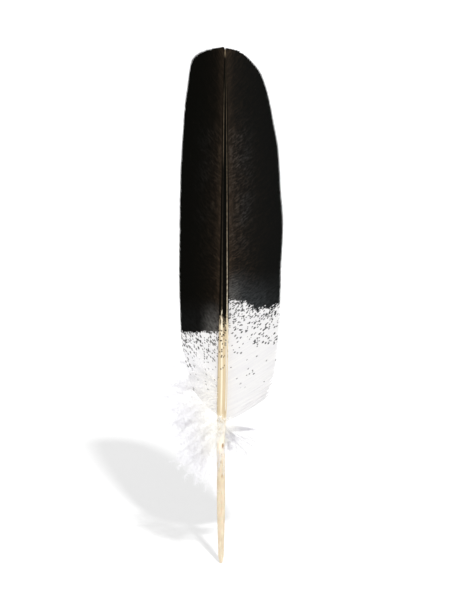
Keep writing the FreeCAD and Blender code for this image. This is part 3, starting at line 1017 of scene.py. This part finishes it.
class Down:
    """A bunch of downy barbs: where each starts, how it runs and what hangs on it."""

    def __init__(
        self, starts, directions, lengths, droop, curl, barbules, barbule_length, painted_shade=0.0, painted_light=0.0
    ):
        self.count = len(starts)
        self.starts = starts
        self.directions = directions
        self.lengths = lengths
        self.droop = np.broadcast_to(droop, self.count)
        self.curl = curl
        self.barbules = barbules
        self.barbule_length = barbule_length
        # A bunch's painted shade pulls its colour towards grey, its painted light towards the warm white near the
        # shaft.
        self.painted_shade = painted_shade
        self.painted_light = painted_light

    def mesh(self):
        """Vertices, faces and fluff attributes of the barbs with all their barbules."""
        rows = DOWN_BARB_ROWS
        thickness = np.full(self.count, STEM_RADIUS)
        centre, tangent, stems = strands(
            self.starts, self.directions, self.lengths, thickness, self.droop, self.curl, rows
        )
        vertices, faces = many_tubes(stems, pointed=True)
        along_stem = np.append(np.repeat(np.linspace(0, 1, rows)[:-1], 3), 1)
        chance = np.repeat(dice.uniform(0, 1, self.count), len(along_stem))
        info = [self.fluff(chance, np.tile(along_stem, self.count))]

        pick = np.repeat(np.arange(self.count), self.barbules)
        place = np.tile(np.linspace(0, 1, self.barbules) ** 0.65, self.count)
        place = np.clip(0.06 + 0.93 * place + dice.uniform(-0.01, 0.01, len(pick)), 0, 0.999)
        i = (place * (rows - 1)).astype(int)
        f = (place * (rows - 1) - i)[:, None]
        base = centre[pick, i] * (1 - f) + centre[pick, i + 1] * f
        heading = tangent[pick, i]
        sideways = np.cross(heading, dice.normal(0, 0.9, (len(pick), 3)) + np.array([0, -1.5, 0]))
        sideways /= np.linalg.norm(sideways, axis=1, keepdims=True)
        sideways *= np.where(np.arange(len(pick)) % 2, 1, -1)[:, None]
        outward = heading * 0.6 + sideways + dice.normal(0, 0.3, (len(pick), 3))
        growth = (0.35 + 0.65 * smoothstep(0, 0.4, place)) * (1 - 0.3 * place)
        size = self.barbule_length * growth * dice.uniform(0.6, 1.2, len(pick))
        thickness = np.full(len(pick), BARBULE_RADIUS)
        sag = dice.uniform(0.0, 0.5, len(pick))
        bend = dice.normal(0, 0.8, (len(pick), 3))
        _, _, hairs = strands(base, outward, size, thickness, sag, bend, BARBULE_ROWS)
        more, more_faces = many_tubes(hairs, pointed=True)
        hair_size = (BARBULE_ROWS - 1) * 3 + 1
        tone = dice.uniform(0, 1, len(pick))
        info.append(self.fluff(np.repeat(tone, hair_size), np.repeat(place, hair_size)))
        faces = faces + [tuple(len(vertices) + v for v in face) for face in more_faces]
        return np.concatenate([vertices, more]), faces, np.concatenate(info)

    def fluff(self, chance, place):
        """The fluff attribute: a chance, the place from root to tip shifted by the painted light, and the painted
        shade.
        """
        return np.column_stack([chance, place - self.painted_light, np.full(len(chance), self.painted_shade)])


# Down lies fairly flat: none of it reaches further than this from its middle plane.
DOWN_MIDDLE = -2.0 * MM
DOWN_REACH = 13.5 * MM


def down_piece(name, node, bunches, material):
    """One piece made of bunches of down, standing for a CAD node."""
    vertices, faces, info = [], [], []
    for bunch in bunches:
        points, sides, fluff = bunch.mesh()
        flat = np.tanh((points[:, 1] - DOWN_MIDDLE) / DOWN_REACH)
        points[:, 1] = DOWN_MIDDLE + DOWN_REACH * flat
        offset = sum(len(v) for v in vertices)
        faces += [tuple(offset + v for v in face) for face in sides]
        vertices.append(points)
        info.append(fluff)
    attributes = {"fluff": np.concatenate(info)}
    piece = new_piece(name, np.concatenate(vertices), faces, material, "quill", attributes, sharp=80)
    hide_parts(node)


def in_vane_plane(degrees, depth):
    """Directions in the vane's plane, by angle above +X, with some depth in Y."""
    turn = np.radians(degrees)
    return np.column_stack([np.cos(turn), depth, np.sin(turn)])


def beside_shaft(root, side):
    """Points on one side of the shaft at these heights, spread a little in depth."""
    depth = dice.uniform(-1.8, 1.2, len(root)) * MM
    x = axis_x(root) + side * 0.8 * half_width(root)
    return np.column_stack([x, axis_y(root) + depth, root])


# Bunches of the left down, as (name, barbs, how much they start out towards the back).
LEFT_BUNCHES = (("front", 96, -0.28), ("back", 68, 0.22))


def build_left_down(material):
    """The big soft tuft beside the narrow vane's foot, fanned out and hanging."""
    low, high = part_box("left_down")
    reach = high.x - low.x
    for name, count, backward in LEFT_BUNCHES:
        share = (np.arange(count) + dice.uniform(0, 1, count)) / count
        starts = beside_shaft(PIT + (1 + 35 * share) * MM, -1)
        angle = 238 - 90 * share + dice.normal(0, 13, count)
        directions = in_vane_plane(angle, backward + dice.normal(0, 0.2, count))
        lengths = reach * dice.uniform(0.82, 1.22, count) * (1 + 0.12 * share)
        droop = dice.uniform(0.1, 0.7, count)
        curl = dice.normal(0, 0.5, (count, 3)) - np.array([0, 1.6 * backward, 0])
        bunch = Down(starts, directions, lengths, droop, curl, 104, 4.0 * MM)
        down_piece("left_down_" + name, "left_down", [bunch], material)


SPIKE_TIP = np.array([20.4, -0.5, 78.7]) * MM


def build_right_down(material):
    """A stiff spike beside the wide vane's foot, with fluff and wisps hanging from it."""
    low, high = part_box("right_down")
    reach = high.x - low.x

    count = 34
    starts = beside_shaft(PIT + np.linspace(5.6, 11.6, count) * MM, 1)
    way = SPIKE_TIP + dice.normal(0, 0.25, (count, 3)) * MM - starts
    lengths = np.linalg.norm(way, axis=1) * dice.uniform(0.6, 1.0, count)
    # The spike is painted a little grey, as shade.
    spike = Down(starts, way, lengths, 0.03, dice.normal(0, 0.03, (count, 3)), 60, 1.3 * MM, 0.2)

    count = 42
    starts = beside_shaft(PIT + dice.uniform(3, 10, count) * MM, 1)
    directions = in_vane_plane(dice.uniform(-45, 0, count), dice.normal(-0.1, 0.2, count))
    lengths = reach * dice.uniform(1.0, 1.9, count)
    curl = dice.normal(0, 0.7, (count, 3))
    # The long wisps are painted grey, as shade.
    wisps = Down(starts, directions, lengths, dice.uniform(0.3, 1.2, count), curl, 80, 0.7 * MM, 1.0)

    count = 44
    starts = beside_shaft(PIT + dice.uniform(1, 9, count) * MM, 1)
    directions = in_vane_plane(dice.uniform(-80, -15, count), dice.normal(-0.1, 0.25, count))
    lengths = dice.uniform(5, 12, count) * MM
    curl = dice.normal(0, 0.4, (count, 3))
    tuft = Down(starts, directions, lengths, dice.uniform(0.2, 0.9, count), curl, 56, 2.2 * MM)
    down_piece("right_down_fluff", "right_down", [spike, wisps, tuft], material)


def build_afterfeather(material):
    """Short bright fluff in front of the shaft's foot, and wisps that hang over the barrel."""
    count = 46
    root = PIT + dice.uniform(4, 13, count) * MM
    front = axis_y(root) - 0.85 * half_width(root)
    starts = np.column_stack([axis_x(root) + dice.uniform(-2.8, 2.8, count) * MM, front, root])
    directions = in_vane_plane(dice.uniform(20, 290, count), dice.uniform(-0.5, -0.1, count))
    lengths = dice.uniform(3.0, 7.5, count) * MM
    curl = dice.normal(0, 0.4, (count, 3))
    # This fluff is pulled towards the warm white near the shaft, as painted light.
    fluff = Down(starts, directions, lengths, dice.uniform(0, 0.5, count), curl, 28, 2.5 * MM, painted_light=0.8)

    count = 9
    root = PIT + dice.uniform(-7, -1, count) * MM
    across = np.linspace(-2.0, 2.0, count) * MM
    starts = np.column_stack([across, -np.sqrt(PIT_RADIUS**2 - across**2) - 0.4 * MM, root])
    directions = in_vane_plane(dice.normal(268, 8, count), np.full(count, -0.05))
    lengths = dice.uniform(6, 17, count) * MM
    curl = dice.normal(0, 0.25, (count, 3))
    # The hanging wisps are painted partly grey, as shade.
    hanging = Down(starts, directions, lengths, 0.1, curl, 50, 1.7 * MM, 0.35)
    down_piece("afterfeather_fluff", "afterfeather", [fluff, hanging], material)


# ---------------------------------------------------- the stage


FLOOR_SIZE = 60
FLOOR_LIGHT = (0.9, 0.9, 0.9)
FLOOR_DARK = (0.89, 0.89, 0.89)
SKY_STRENGTH = 0.93
SUN_STRENGTH = 1.7
SUN_SPREAD = 3.5
SUN_TRAVEL = (-0.216, 0.924, -1.0)


def build_stage():
    """A white floor, soft light from everywhere and a sun in front of the pen."""
    bpy.ops.mesh.primitive_plane_add(size=FLOOR_SIZE)
    floor = bpy.context.object
    floor.name = "floor"
    r = Recipe("floor_paper")
    grain = r.noise(r.place_mm(), 0.02, 2.0)
    paper = r.set(Base_Color=r.mix(grain, FLOOR_LIGHT, FLOOR_DARK), Roughness=1.0, Specular=0.0)
    floor.data.materials.append(paper)

    world = bpy.data.worlds.new("soft_light")
    bpy.context.scene.world = world
    world.use_nodes = True
    background = world.node_tree.nodes["Background"]
    background.inputs["Color"].default_value = (1, 1, 1, 1)
    background.inputs["Strength"].default_value = SKY_STRENGTH

    lamp = bpy.data.lights.new("key", "SUN")
    lamp.energy = SUN_STRENGTH
    lamp.angle = math.radians(SUN_SPREAD)
    key = bpy.data.objects.new("key", lamp)
    bpy.context.scene.collection.objects.link(key)
    key.rotation_euler = Vector(SUN_TRAVEL).to_track_quat("-Z", "Y").to_euler()
    bpy.context.scene.view_settings.view_transform = "Standard"


ELEVATION = 15.0
FOCAL_LENGTH = 1100.0
SENSOR = 36.0
# How much of the frame the pen takes up, and where its nib stands in it.
PEN_SHARE = 0.84095
NIB_UP = 0.08238
NIB_ACROSS = 0.48043
WIDTH_TO_HEIGHT = 460 / 613


def build_camera():
    """A long lens, square on to the vanes and a little above them."""
    tilt = math.radians(ELEVATION)
    back = Vector((0, -math.cos(tilt), math.sin(tilt)))
    right = Vector((1, 0, 0))
    up = Vector((0, math.sin(tilt), math.cos(tilt)))
    top = Vector((axis_x(SHAFT_TOP), axis_y(SHAFT_TOP), LENGTH))
    above_middle = NIB_UP + PEN_SHARE - 0.5
    frame_height = (top.dot(up) + above_middle * top.dot(back) * SENSOR / FOCAL_LENGTH) / PEN_SHARE
    frame_width = frame_height * WIDTH_TO_HEIGHT
    centre = up * (frame_height * (0.5 - NIB_UP)) + right * (frame_width * (0.5 - NIB_ACROSS))
    data = bpy.data.cameras.new("camera")
    data.lens = FOCAL_LENGTH
    data.sensor_width = SENSOR
    distance = frame_height * FOCAL_LENGTH / SENSOR
    camera = bpy.data.objects.new("camera", data)
    bpy.context.scene.collection.objects.link(camera)
    camera.location = centre + back * distance
    camera.rotation_euler = (-back).to_track_quat("-Z", "Y").to_euler()
    data.clip_end = 100
    bpy.context.scene.camera = camera


# ----------------------------------------------------- building

LEFT_ANGLES = [(0.0, 46.0), (0.5, 37.0), (0.95, 27.0), (1.0, 14.0)]
RIGHT_ANGLES = [(0.0, 61.0), (0.5, 47.0), (0.95, 35.0), (1.0, 16.0)]
LEFT_SPLITS = [(289.0, 0.03, 1.5), (236.0, 0.012, 2.0)]
RIGHT_SPLITS = [(290.4, 0.03, 1.5), (150.0, 0.01, 2.0)]
LEFT_BASE = 87 * MM
RIGHT_BASE = 83 * MM
LEFT_CUP = 2.2 * MM
RIGHT_CUP = 4.0 * MM
BARB_PITCH = 0.6 * MM


def paint_node(node, material):
    """Gives a CAD node that stays as it is a material of its own."""
    materials = frame["nodes"][node].data.materials
    materials.clear()
    materials.append(material)


barbs = vane_material()
left_vane = Vane(-1, LEFT_EDGE, LEFT_WIDTH, LEFT_BASE, LEFT_CUP, LEFT_ANGLES)
right_vane = Vane(1, RIGHT_EDGE, RIGHT_WIDTH, RIGHT_BASE, RIGHT_CUP, RIGHT_ANGLES)
build_vane("left", left_vane, BARB_PITCH, barbs, LEFT_SPLITS)
build_vane("right", right_vane, BARB_PITCH, barbs, RIGHT_SPLITS)
build_shaft()
horn = barrel_material()
build_barrel(horn)
build_nib("left", -1, horn)
build_nib("right", 1, horn)
down = down_material()
build_left_down(down)
build_right_down(down)
build_afterfeather(down)
paint_node("pulp_caps", plain_inner("pulp_skin", (0.70, 0.60, 0.44), (0.50, 0.38, 0.24), 1.5))
paint_node("umbilicus_plug", plain_inner("plug_crust", (0.30, 0.19, 0.10), (0.14, 0.08, 0.04), 2.0))
build_stage()
build_camera()
